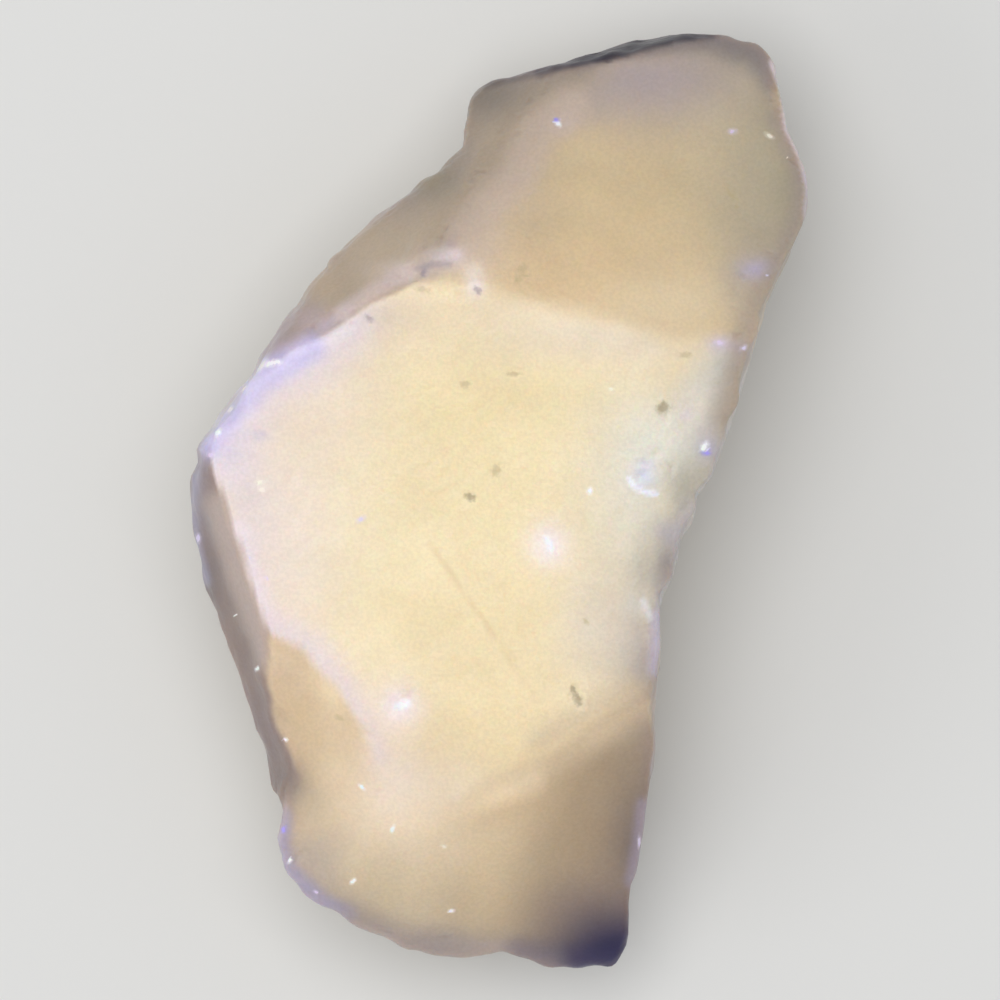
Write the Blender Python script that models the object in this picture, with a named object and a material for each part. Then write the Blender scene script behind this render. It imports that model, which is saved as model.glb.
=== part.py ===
"""Glass cullet: one hand-sized broken lump of milky glass, lying on its flat cleaved base.

The lump is made the way such a piece breaks. A blank block takes its plan outline from rings of points,
flat facets are cleaved off its top, and ball-shaped cutters strike the hollow scars and the chips.
"""

import math

import bmesh
import bpy
from mathutils import Vector

MM = 0.001  # the sizes and tables below are in millimetres

# Driving sizes of the blank
BLANK_TOP = 42.0  # the blank is this tall before its top facets are cleaved
BLUNT_EDGE = 1.3  # least height of the blunt edge left between the rim and the top facets
HIGHEST_RIM = 24.0  # the widest outline lies no higher than this
TOP_SHARE = 0.95  # the wall above the rim leans in to this share of its reach
MIDDLE = (4.0, 5.0)  # rings are laid out by bearing from this point

# Flank profile from base to rim: share of the rim's height, share of the way out from base to rim
FLANK_STEPS = [(0.0, 0.0), (0.22, 0.42), (0.48, 0.74), (0.76, 0.92), (1.0, 1.0)]

# Plan outline of the widest section, clockwise from the upper left corner
OUTLINE = [
    (-3.1, 40.0), (-2.5, 41.1), (-1.0, 42.0), (2.8, 42.7), (9.9, 44.9), (11.7, 45.7), (15.6, 46.5),
    (17.7, 46.8), (22.6, 46.4), (25.7, 45.4), (26.8, 44.3), (28.0, 41.7), (28.4, 37.3), (29.7, 34.8),
    (30.5, 32.9), (30.7, 30.8), (30.4, 28.2), (28.1, 23.0), (26.6, 19.9), (25.4, 15.7), (21.8, 4.2),
    (20.8, 2.1), (19.5, 0.5), (19.2, -1.6), (17.8, -4.2), (17.3, -7.5), (16.0, -9.5), (15.9, -12.0),
    (16.0, -14.5), (15.3, -20.8), (15.5, -24.2), (14.4, -32.0), (13.8, -36.5), (12.8, -38.9),
    (13.0, -43.7), (11.3, -46.8), (5.5, -46.7), (0.2, -45.3), (-3.3, -46.2), (-9.5, -44.9),
    (-15.5, -41.8), (-19.7, -39.1), (-21.6, -36.5), (-22.2, -34.5), (-22.0, -32.8), (-21.4, -31.1),
    (-22.5, -28.8), (-23.8, -23.8), (-25.0, -21.0), (-28.0, -12.5), (-29.5, -8.0), (-30.3, -4.0),
    (-30.7, 2.2), (-29.9, 4.0), (-30.2, 5.0), (-29.6, 6.2), (-24.7, 12.4), (-22.2, 16.9),
    (-16.8, 23.8), (-12.2, 28.4), (-4.9, 34.1), (-3.7, 35.3), (-3.4, 37.0),
]

# Plan corners of the flat base
BASE = [
    (3.0, 31.0), (14.0, 27.0), (17.0, 12.0), (11.0, -6.0), (9.0, -27.0), (3.0, -36.0),
    (-9.0, -35.0), (-17.0, -24.0), (-20.0, -2.0), (-15.0, 12.0), (-6.0, 23.0),
]

# The broad face, nearly level, through three points
FACE_POINTS = [(-6.0, 23.5, 36.0), (-29.2, 5.5, 33.5), (14.0, -19.0, 32.0)]

# Flat facets: the facet it folds from, two plan points of the fold, and how much more steeply it falls
# on the right-hand side of the fold
FACETS = {
    "upper": ("face", (23.5, 15.0), (-3.0, 21.2), 0.62),
    "upper_left": ("upper", (7.5, 40.0), (-6.0, 23.5), 0.50),
    "upper_right": ("upper", (22.5, 18.0), (27.5, 45.0), 0.28),
    "top_edge": ("upper", (20.0, 46.3), (-1.0, 41.2), 3.0),
    "shoulder": ("face", (-6.0, 23.5), (-23.5, 13.2), 1.45),
    "shoulder_end": ("face", (-23.2, 13.2), (-29.4, 4.9), 1.3),
    "lower_right": ("face", (-5.0, -31.5), (14.0, -19.0), 0.66),
    "foot": ("face", (-11.5, -30.0), (-5.0, -31.5), 0.62),
}

# The steep left facet stops short at a step, where the foot bulges out past it
LEFT_FOLD = ((-29.2, 4.5), (-23.5, -13.0), 2.0)
LEFT_STEP = ((-24.0, -34.8), (-18.0, -26.3), -3.0)

# Hollows struck into the broad face: plan point, radius of the rim circle, dip of the hollow at its rim
HOLLOWS = {
    "dish": (-3.0, -2.0, 23.0, 6.0),
    "bite": (-30.2, -29.1, 17.5, 32.0),
    "right_hollow": (34.5, 2.5, 18.5, 22.0),
    "right_nick": (26.5, -9.0, 12.3, 30.0),
}

# Hollow scars round the flanks: bearing from the middle, height, bearing and tilt of the scar's facing
# (up is positive), radius of the ball and depth of the strike
SCARS = {
    "east": (-8.0, 12.0, -20.0, -20.0, 50.0, 3.7),
    "east_low": (-50.0, 14.0, 2.0, -16.0, 20.0, 3.0),
    "south_east": (-69.0, 9.0, -6.0, -36.0, 36.0, 6.4),
    "east_foot": (-81.0, 6.0, -20.0, -34.0, 15.0, 3.0),
    "south": (-98.0, 6.0, -88.0, -38.0, 22.0, 4.4),
    "south_west": (-119.0, 9.5, -128.0, -26.0, 24.0, 4.4),
    "west_low": (-142.0, 10.0, -163.0, -26.0, 38.0, 5.6),
    "west": (174.0, 12.0, -178.0, -26.0, 24.0, 2.6),
    "north_west": (140.0, 10.0, 138.0, -28.0, 46.0, 5.8),
    "north_corner": (107.0, 9.0, 160.0, -24.0, 17.0, 4.2),
    "north": (76.0, 7.5, 103.0, -40.0, 32.0, 4.2),
    "north_east": (46.0, 11.0, 20.0, -26.0, 28.0, 4.6),
    "east_high": (17.0, 8.0, -20.0, -40.0, 20.0, 4.4),
}

# Chips and pits in the upper faces: plan point, radius of the ball, depth, and the bearing and angle
# by which the chip leans away from straight up
CHIPS = {
    "crest_a": (-6.4, 23.8, 4.5, 1.0, 120.0, 25.0),
    "crest_b": (-3.6, 22.2, 3.4, 0.7, 100.0, 15.0),
    "crest_c": (-9.6, 22.0, 5.0, 0.6, 125.0, 35.0),
    "ridge_a": (-17.2, 17.2, 7.0, 0.7, 125.0, 38.0),
    "ridge_b": (-23.2, 13.4, 5.0, 0.8, 130.0, 35.0),
    "ridge_c": (-26.8, 8.6, 4.4, 0.9, 140.0, 35.0),
    "left_corner": (-29.4, 4.6, 3.0, 1.0, 160.0, 40.0),
    "half_oval": (14.4, 2.0, 3.4, 0.6, 20.0, 20.0),
    "middle_spark": (4.8, -4.2, 2.2, 0.4, 0.0, 0.0),
    "lower_spark": (-9.8, -20.2, 2.4, 0.45, 0.0, 0.0),
    "pit_right": (16.2, 9.0, 1.2, 0.7, 0.0, 0.0),
    "pit_low": (7.7, -19.6, 1.4, 0.6, -60.0, 20.0),
    "edge_a": (24.6, 15.4, 5.0, 0.8, -10.0, 40.0),
    "edge_b": (20.8, 4.6, 4.0, 0.7, -20.0, 40.0),
    "edge_c": (27.6, 23.6, 7.0, 0.9, -5.0, 30.0),
    "foot_edge": (-21.6, -35.2, 4.0, 0.8, 190.0, 30.0),
}

SCAR_FACES = 5  # icosphere subdivisions of the scar cutters
DISH_FACES = 6  # the same for the hollows of the broad face that are wider than WIDE_BALL
CHIP_FACES = 3  # the same for the small chips
WIDE_BALL = 60.0  # a ball over this radius takes DISH_FACES
WEDGE_SIZE = 90.0  # side of the block that the left wedge is cut from
WELD = 0.004  # points closer than this are joined after the cuts
SHARP_ANGLE = math.radians(24.0)
PARALLEL = 1e-9  # below this a line and an edge count as parallel

GLASS_COLOUR = (0.80, 0.66, 0.45, 1.0)
GLASS_ROUGHNESS = 0.32
GLASS_IOR = 1.51


def plane_through(points):
    """(height at the origin, rise per mm along X, rise per mm along Y) of the plane through three points."""
    p, q, r = (Vector(point) for point in points)
    normal = (q - p).cross(r - p)
    rise_x = -normal.x / normal.z
    rise_y = -normal.y / normal.z
    return (p.z - rise_x * p.x - rise_y * p.y, rise_x, rise_y)


def height_on(plane, x, y):
    """Height of a plane above a plan point."""
    return plane[0] + plane[1] * x + plane[2] * y


def folded(plane, start, end, slope):
    """The plane that leaves the given one along a fold and falls more steeply on its right-hand side."""
    along = (Vector(end) - Vector(start)).normalized()
    right = Vector((along.y, -along.x))
    lift = slope * right.dot(Vector(start))
    return (plane[0] + lift, plane[1] - slope * right.x, plane[2] - slope * right.y)


def top_planes():
    """Every flat facet of the top by name, the broad face first."""
    planes = {"face": plane_through(FACE_POINTS)}
    for name, (parent, start, end, slope) in FACETS.items():
        planes[name] = folded(planes[parent], start, end, slope)
    return planes


def top_height(planes, x, y):
    """Height of the cleaved top above a plan point, the left facet and its step included."""
    left = max(
        height_on(folded(planes["face"], *LEFT_FOLD), x, y),
        height_on(folded(planes["face"], *LEFT_STEP), x, y),
    )
    return min(left, *(height_on(plane, x, y) for plane in planes.values()))


def reach(direction, corners):
    """Distance from the middle to the edge of a closed plan outline, along a plan direction."""
    found = []
    for corner, following in zip(corners, corners[1:] + corners[:1]):
        start = Vector(corner) - Vector(MIDDLE)
        side = Vector(following) - Vector(corner)
        spread = direction.cross(side)
        if abs(spread) < PARALLEL:
            continue
        distance = start.cross(side) / spread
        share = start.cross(direction) / spread
        if distance > 0 and -PARALLEL <= share <= 1 + PARALLEL:
            found.append(distance)
    return max(found)


def rim_height(planes, x, y):
    """Height of the widest outline: a blunt edge below the top, and no higher than the highest rim."""
    return min(HIGHEST_RIM, top_height(planes, x, y) - BLUNT_EDGE)


def rings(planes):
    """Rings of points from the base up to the top of the blank, one point of each for an outline point."""
    found = [[] for _ in range(len(FLANK_STEPS) + 1)]
    middle = Vector(MIDDLE)
    for x, y in OUTLINE:
        out = Vector((x, y)) - middle
        direction = out.normalized()
        inner = reach(direction, BASE)
        rim = rim_height(planes, x, y)
        for ring, (height_share, out_share) in zip(found, FLANK_STEPS):
            place = middle + direction * (inner + (out.length - inner) * out_share)
            ring.append(Vector((place.x, place.y, rim * height_share)) * MM)
        place = middle + out * TOP_SHARE
        found[-1].append(Vector((place.x, place.y, BLANK_TOP)) * MM)
    return found


def make_blank(planes):
    """A closed bmesh of the uncut block: the rings joined by walls, with a flat base and a flat lid."""
    bm = bmesh.new()
    rows = [[bm.verts.new(point) for point in ring] for ring in rings(planes)]
    count = len(OUTLINE)
    for lower, upper in zip(rows, rows[1:]):
        for i in range(count):
            j = (i + 1) % count
            bm.faces.new((lower[i], upper[i], upper[j], lower[j]))
    bm.faces.new(rows[0])
    bm.faces.new(reversed(rows[-1]))
    bmesh.ops.recalc_face_normals(bm, faces=bm.faces)
    walls = [face for face in bm.faces if len(face.verts) == 4]
    bmesh.ops.triangulate(bm, faces=walls)
    return bm


def cleave(bm, plane):
    """Cuts away what lies above a plane and closes the cut with one flat facet."""
    bmesh.ops.bisect_plane(
        bm,
        geom=bm.verts[:] + bm.edges[:] + bm.faces[:],
        dist=1e-7,
        plane_co=Vector((0.0, 0.0, plane[0] * MM)),
        plane_no=Vector((-plane[1], -plane[2], 1.0)).normalized(),
        clear_outer=True,
    )
    open_edges = [edge for edge in bm.edges if edge.is_boundary]
    bmesh.ops.holes_fill(bm, edges=open_edges, sides=0)


def new_object(name, bm):
    """Puts a bmesh into the scene as an object and frees it."""
    mesh = bpy.data.meshes.new(name)
    bm.to_mesh(mesh)
    bm.free()
    body = bpy.data.objects.new(name, mesh)
    bpy.context.scene.collection.objects.link(body)
    return body


def as_cutter(body):
    """Keeps a cutter out of the finished part."""
    body.hide_render = True
    body.display_type = "WIRE"
    return body


def ball_cutter(name, centre, radius, subdivisions):
    """A ball that strikes a hollow, centre and radius in millimetres."""
    bm = bmesh.new()
    bmesh.ops.create_icosphere(bm, subdivisions=subdivisions, radius=radius * MM)
    bmesh.ops.translate(bm, verts=bm.verts, vec=Vector(centre) * MM)
    return as_cutter(new_object(name, bm))


def hollow_cutter(name, face, x, y, rim_radius, dip):
    """The ball whose hollow in the broad face has the given rim circle and dip at the rim."""
    radius = rim_radius / math.sin(math.radians(dip))
    normal = Vector((-face[1], -face[2], 1.0)).normalized()
    centre = Vector((x, y, height_on(face, x, y))) + normal * radius * math.cos(math.radians(dip))
    return ball_cutter(name, centre, radius, DISH_FACES if radius > WIDE_BALL else SCAR_FACES)


def facing_vector(bearing, rise):
    """Unit vector along a bearing, raised from level by an angle, both in degrees."""
    bearing = math.radians(bearing)
    rise = math.radians(rise)
    level = math.cos(rise)
    return Vector((level * math.cos(bearing), level * math.sin(bearing), math.sin(rise)))


def flank_point(planes, bearing, height):
    """Point of the uncut flank at a bearing in degrees from the middle and a height."""
    direction = facing_vector(bearing, 0.0).to_2d()
    inner = reach(direction, BASE)
    outer = reach(direction, OUTLINE)
    share = height / rim_height(planes, *(Vector(MIDDLE) + outer * direction))
    out_share = 1.0
    for (low, low_out), (high, high_out) in zip(FLANK_STEPS, FLANK_STEPS[1:]):
        if low <= share <= high:
            out_share = low_out + (high_out - low_out) * (share - low) / (high - low)
    place = Vector(MIDDLE) + direction * (inner + (outer - inner) * out_share)
    return Vector((place.x, place.y, height))


def scar_cutter(name, planes, bearing, height, facing, tilt, radius, depth):
    """The ball that strikes a flank scar, at a bearing and a height, facing its own way."""
    start = flank_point(planes, bearing, height)
    centre = start + facing_vector(facing, tilt) * (radius - depth)
    return ball_cutter(name, centre, radius, SCAR_FACES)


def chip_cutter(name, planes, x, y, radius, depth, bearing, lean):
    """The small ball that flakes a chip or a pit out of the top."""
    start = Vector((x, y, top_height(planes, x, y)))
    centre = start + facing_vector(bearing, 90.0 - lean) * (radius - depth)
    return ball_cutter(name, centre, radius, CHIP_FACES)


def left_wedge(face):
    """The wedge of glass that came off the left side: above the steep facet and beyond the step."""
    bm = bmesh.new()
    bmesh.ops.create_cube(bm, size=WEDGE_SIZE * MM)
    start = LEFT_FOLD[0]
    bmesh.ops.translate(bm, verts=bm.verts, vec=Vector((start[0], start[1], height_on(face, *start))) * MM)
    for fold in (LEFT_FOLD, LEFT_STEP):
        rise = folded(face, *fold)
        bmesh.ops.bisect_plane(
            bm,
            geom=bm.verts[:] + bm.edges[:] + bm.faces[:],
            dist=1e-7,
            plane_co=Vector((0.0, 0.0, rise[0] * MM)),
            plane_no=Vector((-rise[1], -rise[2], 1.0)).normalized(),
            clear_inner=True,
        )
        open_edges = [edge for edge in bm.edges if edge.is_boundary]
        bmesh.ops.holes_fill(bm, edges=open_edges, sides=0)
    bmesh.ops.recalc_face_normals(bm, faces=bm.faces)
    return as_cutter(new_object("left_wedge", bm))


def strike(body, cutters):
    """Takes each cutter's shape out of the body, then replaces the body's mesh with the result."""
    for cutter in cutters:
        cut = body.modifiers.new(cutter.name, "BOOLEAN")
        cut.operation = "DIFFERENCE"
        cut.solver = "EXACT"
        cut.object = cutter
    graph = bpy.context.evaluated_depsgraph_get()
    struck = bpy.data.meshes.new_from_object(body.evaluated_get(graph))
    body.modifiers.clear()
    blank = body.data
    body.data = struck
    bpy.data.meshes.remove(blank)
    for cutter in cutters:
        mesh = cutter.data
        bpy.data.objects.remove(cutter)
        bpy.data.meshes.remove(mesh)


def clean(mesh):
    """Joins the points that the cuts left too close together, and makes every face a triangle."""
    bm = bmesh.new()
    bm.from_mesh(mesh)
    bmesh.ops.triangulate(bm, faces=bm.faces)
    bmesh.ops.remove_doubles(bm, verts=bm.verts, dist=WELD * MM)
    bmesh.ops.dissolve_degenerate(bm, edges=bm.edges, dist=WELD * MM)
    bmesh.ops.triangulate(bm, faces=bm.faces)
    bm.to_mesh(mesh)
    bm.free()


def glass_material():
    """Milky cream glass, smooth but not polished."""
    material = bpy.data.materials.new("milky_glass")
    material.use_nodes = True
    shader = material.node_tree.nodes["Principled BSDF"]
    shader.inputs["Base Color"].default_value = GLASS_COLOUR
    shader.inputs["Roughness"].default_value = GLASS_ROUGHNESS
    shader.inputs["IOR"].default_value = GLASS_IOR
    shader.inputs["Metallic"].default_value = 0.0
    return material


def make_cullet():
    """The whole lump: blank, flat facets, left wedge, hollows, scars and chips."""
    planes = top_planes()
    bm = make_blank(planes)
    for plane in planes.values():
        cleave(bm, plane)
    body = new_object("cullet", bm)
    cutters = [left_wedge(planes["face"])]
    for name, row in HOLLOWS.items():
        cutters.append(hollow_cutter(name, planes["face"], *row))
    for name, row in SCARS.items():
        cutters.append(scar_cutter(name, planes, *row))
    for name, row in CHIPS.items():
        cutters.append(chip_cutter(name, planes, *row))
    strike(body, cutters)
    clean(body.data)
    body.data.shade_smooth()
    body.data.set_sharp_from_angle(angle=SHARP_ANGLE)
    body.data.materials.append(glass_material())
    return body


for leftover in list(bpy.data.objects):
    bpy.data.objects.remove(leftover)
make_cullet()
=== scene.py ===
# Glass cullet: one broken lump of milky cream glass, lying on its flat cleaved base.
# Lengths are in millimetres until a mesh is made. X and Y are the plan, Z is up.

import math

import bpy
import numpy as np
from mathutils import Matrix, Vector


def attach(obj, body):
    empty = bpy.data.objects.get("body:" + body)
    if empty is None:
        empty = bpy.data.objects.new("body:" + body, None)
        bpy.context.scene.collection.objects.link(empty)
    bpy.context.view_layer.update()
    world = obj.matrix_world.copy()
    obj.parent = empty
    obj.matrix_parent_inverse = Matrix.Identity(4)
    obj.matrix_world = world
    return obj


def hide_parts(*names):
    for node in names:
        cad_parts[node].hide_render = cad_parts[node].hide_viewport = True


mm = 0.001

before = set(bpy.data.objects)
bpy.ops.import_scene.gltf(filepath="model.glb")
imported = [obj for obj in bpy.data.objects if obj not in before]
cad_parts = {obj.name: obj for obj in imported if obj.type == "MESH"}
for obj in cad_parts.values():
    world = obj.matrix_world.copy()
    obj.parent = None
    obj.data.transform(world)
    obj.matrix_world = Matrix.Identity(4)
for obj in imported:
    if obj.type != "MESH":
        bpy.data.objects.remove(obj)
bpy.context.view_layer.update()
print("frame loaded:", len(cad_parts), "node")

# The lump's form, close to that of the solid it stands for
lump = {
    "middle": (4.0, 5.0),  # rays and bearings start here in plan
    "rayHeight": 15.0,  # and at this height
    "bluntEdge": 1.3,  # least height between the rim and the top facets
    "highestRim": 24.0,
    "topShare": 0.95,  # the wall above the rim leans in to this share of its reach
    "wallTop": 42.0,
    "flankHeights": (0.0, 0.22, 0.48, 0.76, 1.0),  # shares of the rim's height
    "flankReaches": (0.0, 0.42, 0.74, 0.92, 1.0),  # shares of the way out from base to rim
    "outline": [
        (-3.1, 40), (-2.3, 41.1), (-0.6, 41.9), (2.8, 42.7), (9.9, 44.9), (11.7, 45.7), (15.6, 46.5),
        (17.7, 46.8), (22.6, 46.4), (25.8, 45.6), (27.1, 44.5), (28.4, 42), (28.6, 37.4), (29.9, 34.9),
        (30.5, 32.9), (30.7, 30.8), (30.4, 28.2), (28.1, 23), (26.6, 19.9), (25.4, 15.7), (21.8, 4.2),
        (20.8, 2.1), (19.5, 0.5), (19.2, -1.6), (17.8, -4.2), (17.3, -7.5), (16, -9.5), (15.9, -12),
        (16, -14.5), (15.3, -20.8), (15.5, -24.2), (14.4, -32), (13.8, -36.5), (12.8, -38.9),
        (13, -43.7), (11.3, -46.8), (5.5, -46.7), (0.2, -45.3), (-3.3, -46.2), (-9.5, -44.9),
        (-15.5, -41.8), (-19.7, -39.1), (-21.6, -36.5), (-22.2, -34.5), (-22, -32.8), (-21.4, -31.1),
        (-22.5, -28.8), (-23.8, -23.8), (-25, -21), (-28, -12.5), (-29.5, -8), (-30.3, -4),
        (-30.7, 2.2), (-29.9, 4), (-30.2, 5), (-29.6, 6.2), (-24.7, 12.4), (-22.2, 16.9),
        (-16.8, 23.8), (-12.2, 28.3), (-4.7, 33.8), (-3.6, 35.2), (-3.4, 37),
    ],
    "base": [
        (3, 31), (14, 27), (17, 12), (11, -6), (9, -27), (3, -36),
        (-9, -35), (-17, -24), (-20, -2), (-15, 12), (-6, 23),
    ],
    "outlineRounding": 0.5,  # degrees of bearing that its corners are rounded over
    "rimGrowth": 0.15,  # gives back what the rim's rounding takes off the outline
    "stepRounding": 0.8,  # where the left facet meets its step
    "sideSlant": 0.85,  # distance to the leaning flank as a share of the plan distance
}

# The broad face lies through three points; the other facets fold from it. Each has its parent, two
# plan points of the fold and the extra fall on its right
facePoints = [(-6, 23.5, 36), (-29.2, 5.5, 33.5), (14, -19, 32)]
facets = {
    "upper": ("face", (23.5, 15), (-3, 21.2), 0.62),
    "upperLeft": ("upper", (7.5, 40), (-6, 23.5), 0.50),
    "upperRight": ("upper", (22.5, 18), (27.5, 45), 0.28),
    "topEdge": ("upper", (20, 46.3), (-1, 41.2), 3),
    "shoulder": ("face", (-6, 23.5), (-23.5, 13.2), 1.45),
    "shoulderEnd": ("face", (-23.4, 13.8), (-29.8, 5.3), 1.3),
    "lowerRight": ("face", (-5, -31.9), (14, -19.5), 0.66),
    "foot": ("face", (-11.5, -30), (-5, -31.5), 0.62),
}
leftFold = ((-29.2, 4.5), (-23.5, -13), 2)
leftStep = ((-24, -34.8), (-18, -26.3), -3)

# Hollows of the broad face: plan point, radius of the rim circle, dip at the rim
hollows = {
    "dish": (-3, -2, 23, 6),
    "bite": (-30.2, -29.1, 17.5, 32),
    "rightHollow": (34.5, 2.5, 18.5, 22),
    "rightNick": (26.5, -9, 12.3, 30),
}

# Scars round the flanks: bearing, height, bearing and tilt of the facing, ball radius, depth
scars = {
    "east": (-8, 12, -20, -20, 50, 3.7),
    "eastLow": (-50, 14, 2, -16, 20, 3),
    "southEast": (-69, 9, -6, -36, 36, 6.4),
    "eastFoot": (-81, 6, -20, -34, 15, 3),
    "south": (-98, 6, -88, -38, 22, 4.4),
    "southWest": (-119, 9.5, -128, -26, 24, 4.4),
    "westLow": (-142, 10, -163, -26, 38, 5.6),
    "west": (174, 12, -178, -26, 24, 2.6),
    "northWest": (140, 10, 138, -28, 46, 5.8),
    "northCorner": (107, 9, 160, -24, 17, 4.2),
    "north": (76, 7.5, 103, -40, 32, 4.2),
    "northEast": (46, 11, 20, -26, 28, 4),
    "eastHigh": (17, 8, -20, -40, 20, 4.4),
}

# Chips of the top: plan point, ball radius, depth, bearing and angle that the chip leans by
chips = {
    "crestA": (-6.4, 23.8, 5.5, 0.8, 120, 22),
    "crestB": (-3.6, 22.2, 4.5, 0.5, 100, 12),
    "crestC": (-9.6, 22, 6.5, 0.5, 125, 32),
    "ridgeA": (-17.2, 17.2, 7, 0.7, 125, 38),
    "ridgeB": (-23.2, 13.4, 5, 0.8, 130, 35),
    "ridgeC": (-26.8, 8.6, 4.4, 0.9, 140, 35),
    "leftCorner": (-29.4, 4.6, 3, 0.7, 160, 40),
    "halfOval": (14.4, 2, 5, 0.45, 20, 12),
    "middleSpark": (4.8, -4.2, 2.2, 0.4, 0, 0),
    "lowerSpark": (-9.8, -20.2, 2.4, 0.45, 0, 0),
    "pitRight": (16.2, 9, 1.2, 0.45, 0, 0),
    "pitLow": (7.7, -19.6, 1.4, 0.4, -60, 20),
    "edgeA": (24.6, 15.4, 5, 0.8, -10, 40),
    "edgeB": (20.8, 4.6, 4, 0.7, -20, 40),
    "edgeC": (27.6, 23.6, 12, 0.5, -5, 30),
    "footEdge": (-21.6, -35.2, 4, 0.8, 190, 30),
}

# Surfaces in the order that they are joined, with the rounding of each join
joins = {
    "face": 0.5,
    "upper": 2.6,
    "upperLeft": 2.2,
    "upperRight": 5.0,
    "lowerRight": 1.4,
    "dish": 1.5,
    "rightHollow": 2.6,
    "rightNick": 2.2,
    "bite": 0.9,
    "foot": 7.0,
    "topEdge": 0.5,
    "shoulder": 0.7,
    "shoulderEnd": 0.7,
    "left": 0.6,
    **dict.fromkeys(chips, 0.25),
    "side": 0.5,
    "base": 0.5,
    **dict.fromkeys(scars, 0.35),
}


def planeThrough(points):
    # z = a + b x + c y, solved for the three points
    rows = np.array([(1.0, x, y) for x, y, z in points])
    return np.linalg.solve(rows, np.array([z for x, y, z in points]))


def folded(plane, start, end, slope):
    # the parent plane less slope times the distance to the right of the fold
    along = np.subtract(end, start)
    right = np.array([along[1], -along[0]]) / np.hypot(*along)
    return plane + slope * np.array([right @ np.array(start), -right[0], -right[1]])


def facing(bearing, rise):
    # unit vector along a bearing, raised from level, both in degrees
    bearing = math.radians(bearing)
    rise = math.radians(rise)
    return np.array([math.cos(rise) * math.cos(bearing), math.cos(rise) * math.sin(bearing), math.sin(rise)])


def planeHeight(plane, x, y):
    # a + b x + c y
    return plane[0] + plane[1] * x + plane[2] * y


def planeDistance(plane, points):
    # height above the plane, divided by the length of its slope vector
    height = points[:, 2] - planeHeight(plane, points[:, 0], points[:, 1])
    return height / math.sqrt(1.0 + plane[1] ** 2 + plane[2] ** 2)


def roundMax(a, b, width):
    # the greater of two fields, lifted by a parabola where they are within the width of each other
    near = np.maximum(width - np.abs(a - b), 0.0)
    return np.maximum(a, b) + near * near / (4.0 * width)


def reach(bearings, corners):
    # distance from the middle to a closed outline along each bearing: the edge that spans the bearing
    # is found from the corners' own bearings, and the ray is crossed with it
    offsets = np.array(corners) - np.array(lump["middle"])
    angles = np.arctan2(offsets[:, 1], offsets[:, 0])
    order = np.argsort(angles)
    offsets = offsets[order]
    angles = angles[order]
    wrapped = (bearings + math.pi) % (2.0 * math.pi) - math.pi
    after = np.searchsorted(angles, wrapped) % len(angles)
    start = offsets[after - 1]
    side = offsets[after] - start
    cos = np.cos(wrapped)
    sin = np.sin(wrapped)
    return (start[:, 0] * side[:, 1] - start[:, 1] * side[:, 0]) / (cos * side[:, 1] - sin * side[:, 0])


def roundedReach(bearings, corners, spread):
    # the mean of the reach at five bearings spread over a few tenths of a degree
    steps = np.radians(spread) * np.linspace(-1.0, 1.0, 5)
    return sum(reach(bearings + step, corners) for step in steps) / 5.0


def topPlanes():
    # each plane is folded from its parent's
    planes = {"face": planeThrough(facePoints)}
    for name, row in facets.items():
        planes[name] = folded(planes[row[0]], *row[1:])
    return planes


planes = topPlanes()
leftPlanes = [folded(planes["face"], *leftFold), folded(planes["face"], *leftStep)]


def topHeight(x, y):
    # the lowest facet above a plan point, with the left facet stopped at its step
    left = np.maximum(planeHeight(leftPlanes[0], x, y), planeHeight(leftPlanes[1], x, y))
    return np.minimum(left, np.min([planeHeight(plane, x, y) for plane in planes.values()], axis=0))


def flankRings(bearings):
    # for each bearing: base reach, rim reach and rim height
    inner = roundedReach(bearings, lump["base"], lump["outlineRounding"])
    outer = roundedReach(bearings, lump["outline"], lump["outlineRounding"]) + lump["rimGrowth"]
    sharp = reach(bearings, lump["outline"])
    x = lump["middle"][0] + sharp * np.cos(bearings)
    y = lump["middle"][1] + sharp * np.sin(bearings)
    rim = np.minimum(lump["highestRim"], topHeight(x, y) - lump["bluntEdge"])
    return inner, outer, rim


def sideReach(rings, height):
    # reach of the flank at a height: straight between the flank's steps, then the leaning wall above the rim
    inner, outer, rim = rings
    share = np.interp(height / rim, lump["flankHeights"], lump["flankReaches"])
    lean = np.clip((height - rim) / (lump["wallTop"] - rim), 0.0, None) * (1.0 - lump["topShare"])
    return inner + (outer - inner) * share - outer * lean


def ballFields():
    # centre and radius of every ball that strikes a hollow, a scar or a chip
    face = planes["face"]
    normal = np.array([-face[1], -face[2], 1.0]) / math.sqrt(1.0 + face[1] ** 2 + face[2] ** 2)
    balls = {}
    for name, (x, y, rimRadius, dip) in hollows.items():
        radius = rimRadius / math.sin(math.radians(dip))
        start = np.array([x, y, planeHeight(face, x, y)])
        balls[name] = (start + normal * radius * math.cos(math.radians(dip)), radius)
    for name, (bearing, height, facingBearing, tilt, radius, depth) in scars.items():
        angle = np.array([math.radians(bearing)])
        out = float(sideReach(flankRings(angle), np.array([height]))[0])
        start = np.array([*lump["middle"], height]) + out * facing(bearing, 0.0)
        balls[name] = (start + facing(facingBearing, tilt) * (radius - depth), radius)
    for name, (x, y, radius, depth, bearing, lean) in chips.items():
        start = np.array([x, y, float(topHeight(x, y))])
        balls[name] = (start + facing(bearing, 90.0 - lean) * (radius - depth), radius)
    return balls


balls = ballFields()

# Slow wander of each broken surface: height and length of its waves
wander = {
    "side": (0.14, 4.0),
    "face": (0.10, 9.0),
    "upper": (0.16, 7.0),
    "lowerRight": (0.06, 6.0),
    "foot": (0.14, 6.0),
    "left": (0.14, 6.0),
    "shoulder": (0.08, 6.0),
    "shoulderEnd": (0.10, 3.5),
    "topEdge": (0.10, 3.4),
    "bite": (0.14, 5.0),
}


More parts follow.
